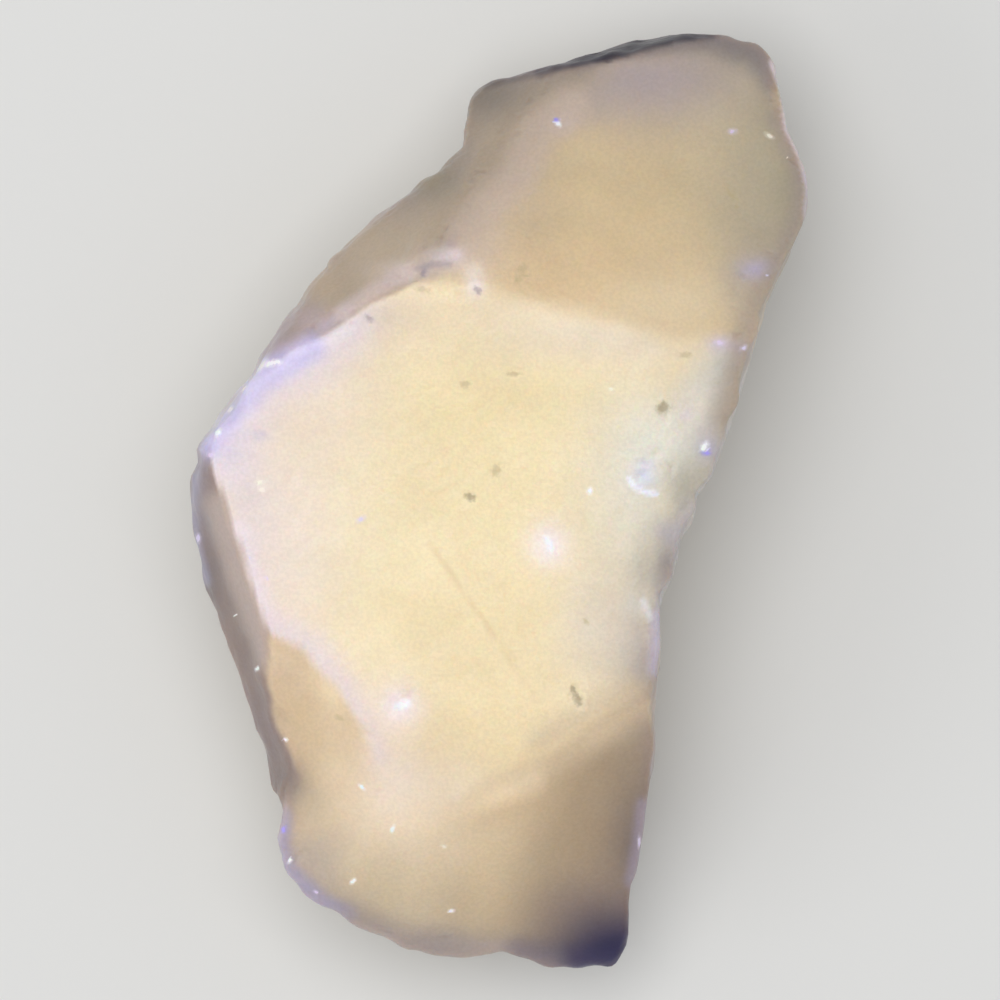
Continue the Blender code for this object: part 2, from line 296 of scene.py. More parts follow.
def ripple(points, length, seed, waves=22):
    # mean of cosines run along seeded directions, their lengths near the given one: smooth, about -1 to 1
    random = np.random.default_rng(seed)
    directions = random.normal(size=(3, waves))
    directions /= np.linalg.norm(directions, axis=0)
    directions *= 2.0 * math.pi / length * random.uniform(0.7, 1.4, waves)
    phases = random.uniform(0.0, 2.0 * math.pi, waves)
    return np.cos(points @ directions + phases).sum(1) / math.sqrt(waves)


def fields(points, rings, sway):
    # signed distance of each surface, positive outside, with its wander added
    rows = {name: planeDistance(plane, points) for name, plane in planes.items()}
    slope = planeDistance(leftPlanes[0], points)
    step = planeDistance(leftPlanes[1], points)
    rows["left"] = -roundMax(-slope, -step, lump["stepRounding"])
    for name, (centre, radius) in balls.items():
        rows[name] = radius - np.linalg.norm(points - centre, axis=1)
    plan = np.hypot(points[:, 0] - lump["middle"][0], points[:, 1] - lump["middle"][1])
    rows["side"] = (plan - sideReach(rings, points[:, 2])) * lump["sideSlant"]
    rows["base"] = -points[:, 2]
    for name, drift in sway.items():
        rows[name] = rows[name] + drift
    return rows


def bodyField(points, rings, sway):
    # the rounded greatest of all fields, joined in order: zero on the surface of the lump
    rows = fields(points, rings, sway)
    total = np.full(len(points), -1e3)
    for name, rounding in joins.items():
        total = roundMax(total, rows[name], rounding)
    return total


grid = {
    "cells": 128,  # along each side of each of the six squares of the grid
    "halfSizes": (31.0, 47.0, 19.0),  # the ellipsoid whose cells are about even
    "upward": 0.30,  # share by which the grid is drawn up towards the top
    "farReach": 70.0,  # past the surface along every ray
    "bracket": 2.0,  # how far the wander may move the surface along a ray
    "halvings": 12,
}


def cubeGrid():
    # a cube's surface as six squares of cells: two parameters on each square, joined where squares meet
    n = grid["cells"]
    i, j = np.meshgrid(np.arange(n + 1), np.arange(n + 1), indexing="ij")
    squares = []
    for axis in range(3):
        for level in (0, n):
            corners = np.empty((n + 1, n + 1, 3), int)
            corners[..., axis] = level
            corners[..., (axis + 1) % 3] = i if level else j
            corners[..., (axis + 2) % 3] = j if level else i
            squares.append(corners)
    lattice = np.array(squares).reshape(-1, 3)
    keys = (lattice[:, 0] * (n + 1) + lattice[:, 1]) * (n + 1) + lattice[:, 2]
    _, first, index = np.unique(keys, return_index=True, return_inverse=True)
    index = index.reshape(6, n + 1, n + 1)
    quads = np.stack([index[:, :-1, :-1], index[:, 1:, :-1], index[:, 1:, 1:], index[:, :-1, 1:]], -1)
    return lattice[first] * (2.0 / n) - 1.0, quads.reshape(-1, 4)


def rayDirections(cube):
    # cube to sphere with even angles, drawn upward, then stretched to the lump's proportions
    ball = np.tan(cube * math.pi / 4.0)
    ball /= np.linalg.norm(ball, axis=1)[:, None]
    rise = ball[:, 2] + grid["upward"] * (1.0 - ball[:, 2] ** 2)
    level = np.sqrt(np.maximum(1.0 - rise**2, 0.0) / np.maximum(1.0 - ball[:, 2] ** 2, 1e-12))
    drawn = np.stack([ball[:, 0] * level, ball[:, 1] * level, rise], 1) * grid["halfSizes"]
    return drawn / np.linalg.norm(drawn, axis=1)[:, None]


def halveRays(start, rays, near, far, rings, sway):
    # each ray's bracket is halved towards the place where the body field turns positive
    for _ in range(grid["halvings"]):
        half = (near + far) / 2.0
        outside = bodyField(start + rays * half[:, None], rings, sway) > 0.0
        far = np.where(outside, half, far)
        near = np.where(outside, near, half)
    return (near + far) / 2.0


def castSurface(rays):
    # distance along each ray to the plain surface, then again with the wander that is found there;
    # gives the points, their fields and their heights above the rim
    start = np.array([*lump["middle"], lump["rayHeight"]])
    rings = flankRings(np.arctan2(rays[:, 1], rays[:, 0]))
    far = np.full(len(rays), grid["farReach"])
    reached = halveRays(start, rays, np.zeros(len(rays)), far, rings, {})
    places = start + rays * reached[:, None]
    sway = {}
    for seed, (name, (height, length)) in enumerate(wander.items()):
        sway[name] = height * ripple(places, length, seed)
    near = reached - grid["bracket"]
    far = reached + grid["bracket"]
    reached = halveRays(start, rays, near, far, rings, sway)
    points = start + rays * reached[:, None]
    return points, fields(points, rings, sway), points[:, 2] - rings[2]


def vertexNormals(points, quads):
    # mean of the normals of the quads round each point, from the cross product of their diagonals
    across = np.cross(points[quads[:, 2]] - points[quads[:, 0]], points[quads[:, 3]] - points[quads[:, 1]])
    total = np.zeros_like(points)
    for corner in range(4):
        for axis in range(3):
            total[:, axis] += np.bincount(quads[:, corner], across[:, axis], len(points))
    return total / np.linalg.norm(total, axis=1)[:, None]


# Groups of surfaces that share a tint: members, softness of the border, the factor that gives back
# the light that the slope loses under the soft lamps, and the display tint. The tints are the glass's
# cream tone with painted shade: facets that face the lamp less are painted darker
zones = {
    "face": (["face", "dish"], 0.3, 1.0, (245, 227, 187)),
    "upper": (["upper", "upperRight"], 1.2, 1.15, (206, 186, 151)),
    "upperLeft": (["upperLeft"], 0.9, 1.05, (178, 162, 142)),
    "shoulder": (["shoulder", "shoulderEnd"], 0.3, 1.08, (180, 162, 141)),
    "left": (["left"], 0.2, 0.92, (170, 148, 138)),
    "bite": (["bite"], 0.4, 1.05, (214, 190, 156)),
    "foot": (["foot"], 1.8, 1.1, (208, 190, 161)),
    "lowerRight": (["lowerRight"], 0.8, 1.2, (174, 153, 126)),
    "strip": (["rightHollow", "rightNick"], 0.8, 1.04, (211, 206, 194)),
    # painted shade: the steep facet along the top edge, painted near black as if unlit
    "topEdge": (["topEdge"], 0.8, 1.0, (84, 75, 88)),
    "flank": (["side", *scars], 0.3, 1.0, (186, 168, 142)),
    "base": (["base"], 0.3, 1.0, (180, 163, 138)),
}

# How the shares of the zones melt into each other, in millimetres
melts = {
    "below": (-6.0, 0.3),  # heights from the rim over which the flank gives way to the top
    "nearTop": (0.2, 5.0),  # distances below the top over which its patches and bands fade
    "wall": 0.3,
    "rim": 0.4,
    "margin": 2.0,
}


def smooth(values, low, high):
    # 0 below low, 1 above high, with a smooth step between
    share = np.clip((values - low) / (high - low), 0.0, 1.0)
    return share * share * (3.0 - 2.0 * share)


def zoneShares(rows, aboveRim):
    # a zone of the top has the product of its leads over each other zone, fading over the softer of the
    # two borders; the flank and base take over only below the rim, and chips keep the tint that they cut.
    # The wall above the rim and the margin inside it have shares of their own
    best = {zone: np.max([rows[name] for name in row[0]], axis=0) for zone, row in zones.items()}
    topZones = [zone for zone in zones if zone not in ("flank", "base")]
    top = np.max([best[zone] for zone in topZones], axis=0)
    under = np.maximum(best["flank"], best["base"])
    below = 1.0 - smooth(aboveRim, *melts["below"])
    wall = smooth(under - top, -melts["wall"], melts["wall"]) * below
    nearTop = 1.0 - smooth(under - top, *melts["nearTop"])
    shares = {}
    for zone in topZones:
        shares[zone] = 1.0
        for other in topZones:
            if other != zone:
                softness = max(zones[zone][1], zones[other][1])
                shares[zone] = shares[zone] * smooth(best[zone] - best[other], -softness, softness)
    total = sum(shares.values())
    shares = {zone: share / np.maximum(total, 1e-9) * (1.0 - wall) for zone, share in shares.items()}
    shares["base"] = wall * smooth(best["base"] - best["flank"], -melts["wall"], melts["wall"])
    shares["flank"] = wall - shares["base"]
    shares["all"] = nearTop
    shares["whole"] = 1.0
    shares["rim"] = smooth(under - top, -melts["rim"], melts["rim"]) * (1.0 - below)
    shares["margin"] = np.exp(-((np.minimum(rows["side"], 0.0) / melts["margin"]) ** 2)) * nearTop
    return shares


def ridgeShare(rows):
    # 1 on a sharp join and 0 at the spread from it; a ridge is gone where a later surface cuts below it
    spread = relief["ridgeSpread"]
    total = np.full(len(rows["face"]), -1e3)
    ridge = np.zeros(len(total))
    for name, rounding in joins.items():
        gap = (rows[name] - total) / spread
        ridge *= 1.0 - np.clip(gap, 0.0, 1.0)
        if rounding < 1.0:
            ridge = np.maximum(ridge, 1.0 - np.clip(np.abs(gap), 0.0, 1.0))
        total = np.maximum(total, rows[name])
    return ridge


def linear(tint):
    # a tint given as display values of 0 to 255, as linear light
    share = np.array(tint) / 255.0
    return np.where(share <= 0.04045, share / 12.92, ((share + 0.055) / 1.055) ** 2.4)


def lineDistance(points, line, slack=1.0):
    # least distance to a line drawn on the top, with a third of the height difference past the slack
    found = np.full(len(points), 1e3)
    heights = [float(topHeight(x, y)) for x, y in line]
    for start, end, low, high in zip(line, line[1:], heights, heights[1:]):
        along = np.subtract(end, start)
        offset = points[:, :2] - start
        share = np.clip(offset @ along / (along @ along), 0.0, 1.0)
        plan = np.linalg.norm(offset - share[:, None] * along, axis=1)
        drop = np.maximum(np.abs(points[:, 2] - low - share * (high - low)) - slack, 0.0)
        found = np.minimum(found, np.hypot(plan, drop / 3.0))
    return found


# Tint and strength of the margin inside the rim, of the thin wall above it, of the flank's ridges and
# of the paler clouds of the flanks, with the clouds' length. The margin is painted shade, partly the
# thin edge's own greyer tone; the pale tints of the wall and of the ridges are painted light
edgeTints = {
    # painted shade, partly the thin edge's own greyer tone
    "margin": ((138, 128, 130), 0.5),
    # painted light on the steep wall above the rim
    "rim": ((200, 191, 202), 0.35),
    # painted highlight along the flank's sharp ridges
    "ridge": ((214, 202, 194), 0.28),
    "flankPale": ((208, 192, 160), 0.5, 15.0),
}

# Patches of the glass's cloudy tone and of painted light and shade: zone, all of the top, the whole
# lump or the wall above the rim; middle, reach along X and Y, tint, strength. The dusk and shade
# patches are painted shade, the lilac, halo, glow and shine patches painted light
patches = {
    "pinkLeft": ("face", (-24, -4), (9, 16), (240, 225, 216), 0.9),
    # painted reflection: the violet lamp's lilac glow inside the left edge
    "lilacEdge": ("face", (-25.6, 2), (2.8, 11), (226, 214, 214), 0.75),
    "pinkUpperLeft": ("face", (-18, 12), (10, 8), (240, 224, 212), 0.7),
    "pinkByBite": ("face", (-11.5, -24.5), (4.5, 8), (239, 223, 211), 0.9),
    "lowFace": ("face", (-2, -25), (9, 5), (236, 216, 180), 0.8),
    "yellowMiddle": ("face", (-3, 9), (9, 9), (239, 221, 177), 0.8),
    "yellowLow": ("face", (0.5, -16), (8, 10), (236, 217, 174), 0.85),
    "yellowLeft": ("face", (-10.5, -12.5), (4.5, 5), (240, 222, 179), 0.6),
    "greyRight": ("face", (14, 0), (6, 11), (224, 218, 203), 0.9),
    "greyUpper": ("face", (12, 16.5), (15, 3.2), (227, 212, 190), 0.9),
    "crestShade": ("face", (-13, 18.8), (6, 2.6), (222, 206, 189), 0.8),
    "foldShade": ("face", (2, 19.6), (6, 2.2), (230, 214, 187), 0.7),
    "greyLowRight": ("face", (9.2, -12), (2.6, 4.4), (233, 221, 204), 0.6),
    "pinkLowerRight": ("face", (13, -13), (6, 7), (218, 204, 184), 0.95),
    "duskRightLow": ("face", (14.8, -16.4), (2.8, 6), (180, 169, 161), 0.9),
    "duskRightFold": ("all", (14.9, -21), (2.8, 3.6), (152, 138, 130), 0.85),
    "orangeLow": ("upper", (6, 22), (14, 6), (214, 190, 153), 0.9),
    "pinkTop": ("upper", (16, 42), (13, 4.8), (171, 158, 158), 0.95),
    "duskTopCorner": ("upper", (24.6, 45.2), (3.4, 2), (122, 115, 116), 0.85),
    "greenRight": ("upper", (25.4, 32), (6, 12), (184, 172, 149), 0.9),
    "oliveRightTop": ("upper", (27.4, 39.6), (2, 4), (162, 153, 135), 0.8),
    "oliveRight": ("upper", (28.8, 30.4), (2, 7), (160, 152, 132), 0.7),
    "paleLowRight": ("upper", (17, 19.4), (7, 3.6), (220, 202, 171), 0.85),
    "duskRight": ("upper", (26.4, 24), (3, 4.4), (168, 156, 139), 0.75),
    "paleFold": ("upper", (2, 33), (3.5, 8), (194, 175, 151), 0.8),
    "pinkFold": ("upper", (-1.5, 25.5), (2.4, 3.2), (205, 186, 168), 0.8),
    "duskCorner": ("all", (-1.6, 40.6), (4.5, 3.2), (128, 118, 107), 0.85),
    "duskMiddle": ("all", (-4.8, 35.2), (3.4, 4.2), (158, 145, 131), 0.75),
    "duskUnder": ("all", (-7, 32), (2.4, 2.2), (146, 136, 116), 0.8),
    "hazeTop": ("upper", (7.8, 40.8), (3.6, 2.6), (170, 157, 154), 0.85),
    "paleShoulder": ("shoulder", (-12, 25), (5, 3.6), (188, 170, 147), 0.9),
    "warmShoulder": ("shoulder", (-17, 21), (3.4, 3), (186, 167, 143), 0.85),
    "mauveStrip": ("shoulder", (-22.6, 15.2), (2.4, 2.4), (168, 154, 160), 0.85),
    "mauveEnd": ("shoulder", (-18.6, 17.8), (2.4, 1.6), (186, 168, 170), 0.8),
    # painted reflection of the violet lamp on the left facet's outer side
    "lilacLeft": ("left", (-30.2, 0), (1.2, 6), (164, 152, 160), 0.8),
    "duskLeft": ("left", (-29.4, -9.6), (1.7, 4.4), (120, 110, 112), 0.8),
    "brownLeft": ("left", (-26, -14), (3, 7), (160, 142, 133), 0.7),
    "duskLeftEnd": ("left", (-22.5, -26.5), (4, 7.4), (148, 132, 129), 0.88),
    "pinkBite": ("bite", (-21.5, -16), (3, 3), (220, 199, 172), 0.8),
    "innerBite": ("bite", (-16.6, -18.8), (2.2, 3), (238, 218, 187), 0.8),
    "palerBite": ("bite", (-12.8, -26), (1.8, 4.5), (234, 216, 198), 0.85),
    "paleBite": ("all", (-15.8, -28), (3.4, 4.6), (227, 206, 175), 0.8),
    "duskNotch": ("all", (-20.7, -28.8), (1.8, 2.8), (142, 128, 123), 0.9),
    "tipGlow": ("all", (-8, -31.6), (7.5, 4.2), (234, 216, 192), 0.9),
    "pinkTip": ("all", (-10, -28.5), (3, 3.4), (240, 224, 212), 0.7),
    "oliveNotch": ("all", (-18.8, -30.6), (2, 2.2), (200, 182, 156), 0.8),
    "paleTipLow": ("all", (-4.6, -29.8), (3.6, 3.4), (242, 226, 204), 0.75),
    "oliveFoot": ("foot", (-18.8, -36), (3.4, 4.5), (190, 175, 161), 0.85),
    "duskFoot": ("foot", (-3, -44.8), (10, 2.5), (167, 154, 148), 0.85),
    "paleFootMiddle": ("all", (-5, -33.4), (4.6, 4.4), (228, 209, 180), 0.75),
    "paleLowerLeft": ("lowerRight", (-2.5, -36), (6, 9), (208, 188, 156), 1),
    "paleLowerTop": ("lowerRight", (1, -29.6), (5, 2.8), (206, 183, 150), 0.9),
    "paleLowerEdge": ("lowerRight", (9.6, -22.8), (3.6, 2), (200, 181, 154), 0.8),
    "tanMiddle": ("lowerRight", (8, -32), (4, 5), (168, 146, 119), 0.5),
    # painted shade: darker towards the lower right corner, near black at the corner itself
    "duskRightSide": ("lowerRight", (14.2, -35.5), (3.9, 9), (122, 109, 104), 0.9),
    "duskLow": ("lowerRight", (9, -40.6), (6, 3.6), (156, 137, 121), 0.85),
    "duskByShadeCorner": ("whole", (11, -46.8), (8.4, 5.7), (78, 71, 90), 0.93),
    "shadeCorner": ("whole", (11.8, -46.4), (5.4, 4.9), (19, 13, 68), 1),
    "paleByOval": ("all", (15.6, 5.8), (3.8, 4), (234, 231, 219), 0.85),
    "paleStrip": ("all", (19.4, 9.2), (2.2, 2.6), (228, 219, 206), 0.85),
    "pinkStrip": ("all", (20.4, 6.8), (1.2, 1), (200, 190, 188), 0.5),
    "oliveStrip": ("all", (18.6, 1.8), (2.2, 2.4), (188, 182, 165), 0.8),
    # painted reflection of the violet lamp by the right glint and in the hollow below it
    "lilacByGlint": ("all", (20.6, 5.1), (1, 0.9), (176, 172, 200), 0.7),
    "lilacHollow": ("all", (16.4, -3.2), (1.4, 1.4), (186, 180, 190), 0.6),
    "duskHollow": ("all", (16.5, -6.8), (1.3, 2.2), (160, 150, 146), 0.8),
    "paleNick": ("all", (13.8, -10.4), (1.5, 1.4), (214, 209, 200), 0.6),
    "greyNick": ("all", (14.2, -6.8), (1.6, 2.4), (196, 190, 178), 0.6),
    "ovalChip": ("all", (14.3, 2.3), (1.3, 1.3), (217, 220, 232), 0.9),
    # painted highlight on the oval chip's upper edge
    "ovalTop": ("all", (14.5, 3.6), (0.9, 0.5), (230, 224, 233), 0.7),
    "blobRight": ("all", (18.5, 8.4), (0.9, 0.6), (226, 214, 214), 0.6),
    # painted highlights: the halo patches below are pale glows round the brightest glints
    "haloMiddle": ("face", (4.8, -4.4), (2, 2.2), (252, 234, 236), 0.9),
    "haloLower": ("face", (-9.9, -20.4), (1.9, 1.9), (248, 232, 236), 0.9),
    "haloUpper": ("upper", (6, 37.8), (1.4, 1.1), (206, 190, 196), 0.7),
    "paleRightLow": ("upper", (24, 21.5), (2.2, 3.4), (190, 176, 158), 0.7),
    "haloRight": ("all", (22, 15.5), (1.4, 0.9), (206, 195, 212), 0.75),
    "haloRightEnd": ("all", (24.2, 15.1), (1, 0.8), (172, 164, 196), 0.8),
    "lilacRight": ("all", (25.6, 22.9), (1.9, 1.2), (182, 173, 194), 0.8),
    "mauveCrest": ("all", (-4.6, 26.6), (0.5, 1.6), (172, 156, 156), 0.35),
    "washCrest": ("all", (-8.8, 22.7), (3.4, 1.1), (216, 200, 192), 0.85),
    "paleCrest": ("all", (-5.4, 24.1), (2.3, 1.2), (212, 199, 199), 0.9),
    "whiteCrest": ("all", (-4.5, 24.5), (0.8, 0.7), (230, 217, 220), 0.8),
    "darkCrest": ("all", (-4.8, 25.5), (0.5, 0.6), (166, 152, 164), 0.6),
    # painted light: glow and halo by the crest's pit
    "glowCrest": ("all", (-2.7, 22.8), (1.3, 0.9), (232, 218, 206), 0.7),
    "haloPit": ("all", (-2.5, 21.2), (1, 1.2), (234, 223, 226), 0.7),
    # painted reflection: violet light on the left corner's nub
    "nubLeft": ("all", (-29.6, 5.7), (0.8, 1.2), (188, 180, 228), 0.8),
    # painted light: the bright wall above the rim at the left shoulder
    "shineLeft": ("rim", (-28.6, 7.6), (2.4, 2.6), (230, 227, 246), 0.65),
    "shineEnd": ("rim", (-25.2, 11.6), (2.2, 2.4), (230, 227, 246), 0.65),
    "smearLeft": ("face", (-24, 6.4), (0.9, 0.5), (212, 203, 214), 0.8),
    "smearCorner": ("face", (-27.6, 4.4), (1.7, 0.8), (204, 195, 208), 0.7),
}

# Bands along edges: zone, all of the top or the whole lump; full width, fade, tint, strength, line.
# Many are painted light and shade, as marked along them
bands = {
    # painted light: the violet lamp's lilac glow, halo and white edge line along the left shoulder
    "shoulderHalo": ("face", 1.6, 6, (226, 217, 229), 0.75, [
        (-29.6, 4.6), (-27.2, 9), (-24.4, 12.6), (-20, 15.2), (-16.5, 17.8),
    ]),
    "shoulderGlow": ("all", 0.8, 2, (202, 196, 236), 0.7, [
        (-29, 5.8), (-26.8, 8.5), (-24.3, 11.6), (-22, 13.1), (-19.6, 14.6), (-18.8, 15.2),
    ]),
    "shoulderTail": ("all", 0.3, 1, (206, 193, 208), 0.5, [(-17.4, 17.1), (-15.2, 18.8)]),
    "shoulderSide": ("whole", 1, 0.6, (214, 211, 242), 0.85, [
        (-30.1, 5.8), (-28.7, 7.8), (-26.8, 10.2), (-24.8, 12.6), (-23.8, 13.8),
    ]),
    "shoulderLine": ("whole", 0.3, 0.5, (252, 252, 255), 0.8, [
        (-30.3, 5.6), (-29.1, 7.6), (-27.2, 9.9), (-25.2, 12.3), (-23.6, 13.6),
    ]),
    # painted highlights along the ridges of the left facet and of the bite, and painted glow on the left
    # facet
    "leftRidge": ("face", 0.6, 2.4, (236, 224, 234), 0.8, [(-26.4, -4), (-24.6, -10), (-23.5, -13)]),
    "leftGlow": ("left", 0.6, 2.2, (204, 187, 178), 0.8, [
        (-27.9, -0.6), (-26.9, -4), (-25.2, -9.5), (-23.8, -13), (-23, -15.5),
    ]),
    "biteRidge": ("face", 0.5, 3.4, (232, 218, 222), 0.8, [
        (-23.5, -12.6), (-19, -15), (-16, -19), (-13.6, -25),
    ]),
    # painted reflection of the violet lamp along the left and foot rims
    "leftRim": ("all", 0.2, 1, (170, 166, 190), 0.7, [
        (-30.4, 2.6), (-30.9, -1), (-30.4, -4.5), (-29.5, -8),
    ]),
    "footRim": ("all", 0.8, 1.5, (158, 154, 182), 0.75, [
        (-21.8, -31.8), (-22.2, -34.4), (-21.5, -37), (-18, -40.4), (-15.6, -41.6),
    ]),
    # painted shade along the upper right edges
    "duskTopRight": ("all", 0.6, 2.6, (136, 128, 126), 0.8, [
        (14, 46), (21, 46.6), (25.7, 45.4), (27.4, 42.5),
    ]),
    "duskRightRim": ("all", 0.8, 2, (156, 146, 138), 0.8, [
        (28.6, 38), (30.4, 33), (30.6, 29), (28.4, 23.6), (26.6, 19.8),
    ]),
    # painted highlight: a pale lilac line along the upper right outline
    "upperRim": ("all", 0.3, 0.4, (200, 191, 204), 0.8, [
        (27.2, 43.8), (28.4, 41), (28.7, 37.2), (30.2, 34.2), (30.9, 31), (30.6, 28.4),
    ]),
    # painted shade along the right strip's rim
    "duskStripRim": ("all", 0.8, 3.2, (174, 160, 144), 0.85, [(26.4, 19.6), (24.8, 14), (23, 8.4)]),
    # painted reflection and highlights: the lamp's lilac by the nick, white lines by the nick and the oval
    # chip
    "nickRim": ("all", 0.4, 1.1, (190, 184, 208), 0.6, [(15.6, -11.6), (15.6, -14), (15.5, -16.8)]),
    "nickLine": ("all", 0.1, 0.5, (226, 224, 226), 0.7, [(14.2, -10), (14.9, -11.6)]),
    "ovalRim": ("all", 0.12, 0.35, (242, 242, 252), 0.95, [
        (12.8, 2.1), (13.3, 1.4), (14.3, 0.8), (15.5, 0.6),
    ]),
    # painted shade: the steep top edge darkened as if unlit, deepest in the middle
    "shadeTopLong": ("all", 0.2, 0.9, (62, 54, 68), 0.5, [
        (-1.4, 41.7), (2.8, 42.6), (9.9, 44.7), (15.6, 46.4), (21.5, 46.9),
    ]),
    "shadeTopOuter": ("all", 0.4, 0.8, (44, 38, 58), 0.5, [(4, 43), (9.9, 44.6), (15.6, 46.2), (20.8, 46.7)]),
    "shadeTopInner": ("all", 0.5, 0.7, (34, 29, 50), 0.6, [
        (7.4, 43.9), (9.9, 44.6), (15.6, 46.2), (19.2, 46.6),
    ]),
    "shadeTopMiddle": ("all", 0.9, 0.7, (30, 26, 46), 0.8, [
        (9.8, 44.5), (11.5, 44.8), (14, 45.6), (16.6, 46.2),
    ]),
    "foldHaze": ("all", 1.2, 2.6, (200, 182, 168), 0.75, [
        (7, 39.4), (4, 37), (1.5, 32), (-1, 29.5), (-3.2, 26.8),
    ]),
    "faceByLowFold": ("face", 0.4, 3, (216, 197, 167), 0.8, [(4.5, -24), (8, -22.2), (12.6, -19.4)]),
    "lowFoldPale": ("lowerRight", 0.8, 2.6, (231, 212, 182), 0.75, [
        (-5, -29.8), (-1, -28.8), (2.5, -27.4),
    ]),
    "lowFoldSoft": ("lowerRight", 0.4, 2.8, (206, 187, 159), 0.6, [
        (2.5, -27.4), (6.5, -25.2), (10, -22.8), (14, -20.6),
    ]),
    # painted shade along the bottom edge
    "bottomDusk": ("whole", 0.6, 3, (66, 60, 90), 0.8, [(2, -46.2), (6, -47), (11, -47.2)]),
    # painted reflection of the violet lamp along the lower right rim
    "lowRim": ("all", 0.2, 1.2, (166, 158, 180), 0.45, [(14.3, -30.5), (13.9, -34.5), (13.2, -38)]),
    "crestEdge": ("all", 0.4, 1.2, (208, 192, 188), 0.75, [(-15.6, 18.6), (-12.5, 20.7), (-9.4, 22.3)]),
    "crestStreak": ("all", 0.1, 0.5, (156, 142, 148), 0.45, [(-8.2, 23), (-6.8, 23.4), (-5, 23.4)]),
    "crestStub": ("all", 0.1, 0.5, (160, 148, 150), 0.25, [(-7.4, 23), (-7.6, 22.4)]),
    # painted shade: darker towards the foot's lower edge
    "footLowRim": ("all", 0.2, 3.4, (158, 146, 141), 0.6, [
        (-15, -42.4), (-9.5, -45), (0.2, -45.8), (4.5, -47),
    ]),
}


def glassTone(points, shares, ridge):
    # zone tints blended by share, then the margin, rim and ridges, then patches that fade as a bell,
    # then bands along the edges, each mixed over what lies under it. Zone tints, the margin and many
    # patches and bands hold painted shade; the rim, the ridges and many others hold painted light
    tone = sum(shares[zone][:, None] * linear(row[3]) for zone, row in zones.items())
    layers = [
        # painted highlight on the flank's ridges
        (ridge**2 * shares["flank"], *edgeTints["ridge"]),
        # painted shade, partly the thin edge's own greyer tone
        (shares["margin"], *edgeTints["margin"]),
        # painted light on the wall above the rim
        (shares["rim"], *edgeTints["rim"]),
    ]
    for zone, middle, reaches, tint, strength in patches.values():
        offset = (points[:, :2] - middle) / reaches
        layers.append((shares[zone] * np.exp(-(offset**2).sum(1)), tint, strength))
    for zone, width, fade, tint, strength, line in bands.values():
        near = 1.0 - smooth(lineDistance(points, line), width / 2.0, width / 2.0 + fade)
        layers.append((shares[zone] * near, tint, strength))
    for share, tint, strength in layers:
        tone += (strength * share)[:, None] * (linear(tint) - tone)
    tint, strength, length = edgeTints["flankPale"]
    drift = np.clip(0.5 + 0.5 * ripple(points, length, 41), 0.0, 1.0) * shares["flank"]
    tone += (strength * drift)[:, None] * (linear(tint) - tone)
    lifted = sum(shares[zone] * (zones[zone][2] - 1.0) for zone in zones)
    return tone * (1.0 + lifted)[:, None]


# Tint and strength of each kind of mark: the glints' kinds are painted highlights, the pits' kinds their own
# colour
markKinds = {
    # painted highlights of the glints
    "white": ((255, 253, 255), 1.0),
    "lilac": ((230, 218, 242), 0.75),
    "violet": ((172, 160, 240), 0.85),
    "cream": ((252, 244, 230), 0.7),
    # the pits' own colours
    "tan": ((172, 156, 122), 0.7),
    "faint": ((196, 180, 140), 0.5),
    "grey": ((174, 160, 166), 0.7),
}

